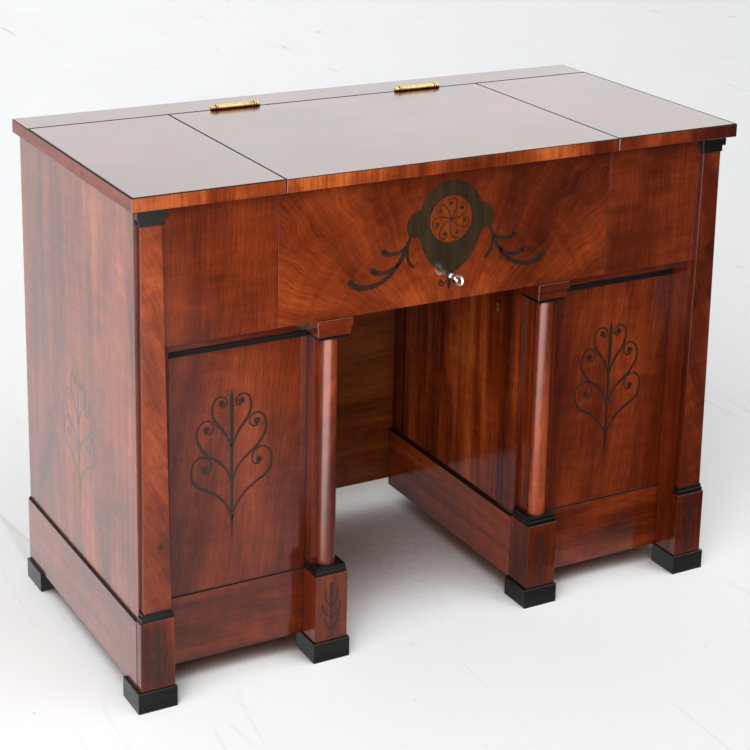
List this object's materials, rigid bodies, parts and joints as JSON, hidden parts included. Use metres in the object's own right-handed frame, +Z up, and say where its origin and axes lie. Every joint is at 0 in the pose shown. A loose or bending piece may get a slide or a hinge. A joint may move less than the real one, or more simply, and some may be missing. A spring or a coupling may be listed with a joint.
{
  "type": "vanity desk",
  "caption": "Antique kneehole vanity desk: lift-up mirror lid and side flaps, deep locked drawer, half columns, dark inlay and square feet.",
  "frame": {"origin": "floor point under the middle of the desk's bounding box", "axes": "+X to the viewer's right along the front, +Y to the back, +Z up; the drawer slides out along -Y"},
  "size_m": [1.058, 0.522, 0.809],
  "materials": {
    "mahogany": "gloss, shellac polished",
    "ebonised": "satin black",
    "lining": "waxed softwood",
    "brass": "polished, slightly tarnished",
    "steel": "worn bright",
    "mirror": "silvered glass"
  },
  "bodies": {
    "case": {"side_panel_left": "mahogany", "side_panel_right": "mahogany", "plinth_left": "mahogany", "plinth_right": "mahogany", "corner_block_left": "mahogany", "corner_block_right": "mahogany", "corner_base_left": "ebonised", "corner_base_right": "ebonised", "pilaster_left": "mahogany", "pilaster_right": "mahogany", "pilaster_capital_left": "ebonised", "pilaster_capital_right": "ebonised", "column_block_left": "mahogany", "column_block_right": "mahogany", "column_base_left": "ebonised", "column_base_right": "ebonised", "column_left": "mahogany", "column_right": "mahogany", "column_capital_left": "mahogany", "column_capital_right": "mahogany", "column_post_left": "mahogany", "column_post_right": "mahogany", "front_panel_left": "mahogany", "front_panel_right": "mahogany", "fascia_left": "mahogany", "fascia_right": "mahogany", "rear_stile_left": "mahogany", "rear_stile_right": "mahogany", "case_partition_left": "lining", "case_partition_right": "lining", "foot_front_outer_left": "ebonised", "foot_front_outer_right": "ebonised", "foot_front_inner_left": "ebonised", "foot_front_inner_right": "ebonised", "foot_rear_left": "ebonised", "foot_rear_right": "ebonised", "back_panel": "mahogany", "dust_board": "lining", "drawer_rail": "lining", "rear_rail": "mahogany", "lid_hinge_plates": "brass", "flap_hinge_strips": "brass", "door_pivot_pins": "steel"},
    "lid": {"lid": "mahogany", "mirror": "mirror", "lid_hinge_leaves": "brass"},
    "flap_left": {"flap_left": "mahogany", "flap_hinge_leaf_left": "brass"},
    "flap_right": {"flap_right": "mahogany", "flap_hinge_leaf_right": "brass"},
    "door_left": {"door_left": "mahogany"},
    "door_right": {"door_right": "mahogany"},
    "drawer": {"drawer_front": "mahogany", "drawer_side_left": "lining", "drawer_side_right": "lining", "drawer_back": "lining", "drawer_bottom": "lining", "drawer_lock": "brass"},
    "bolt": {"lock_bolt": "brass"},
    "key": {"key": "steel"}
  },
  "joints": [
    {"name": "lid_hinge", "type": "hinge", "parent": "case", "child": "lid", "pos_m": [0, 0.18825, 0.8033], "axis": [-1, 0, 0], "range_deg": [0, 100]},
    {"name": "flap_left_hinge", "type": "hinge", "parent": "case", "child": "flap_left", "pos_m": [-0.5215, -0.014, 0.77815], "axis": [0, -1, 0], "range_deg": [0, 105]},
    {"name": "flap_right_hinge", "type": "hinge", "parent": "case", "child": "flap_right", "pos_m": [0.5215, -0.014, 0.77815], "axis": [0, 1, 0], "range_deg": [0, 105]},
    {"name": "door_left_hinge", "type": "hinge", "parent": "case", "child": "door_left", "pos_m": [-0.18385, 0.181, 0.35], "axis": [0, 0, 1], "range_deg": [0, 90]},
    {"name": "door_right_hinge", "type": "hinge", "parent": "case", "child": "door_right", "pos_m": [0.18385, 0.205, 0.35], "axis": [0, 0, -1], "range_deg": [0, 90]},
    {"name": "drawer_slide", "type": "slide", "parent": "case", "child": "drawer", "axis": [0, -1, 0], "range_m": [0, 0.36]},
    {"name": "key_turn", "type": "hinge", "parent": "drawer", "child": "key", "pos_m": [0, -0.214, 0.608], "axis": [0, 1, 0], "range_deg": [-6, 96]},
    {"name": "bolt_slide", "type": "slide", "parent": "drawer", "child": "bolt", "axis": [0, 0, -1], "range_m": [0, 0.009]}
  ],
  "couplings": [
    {"joint": "key_turn", "follows": "bolt_slide", "rad_per_m": 174.5}
  ]
}
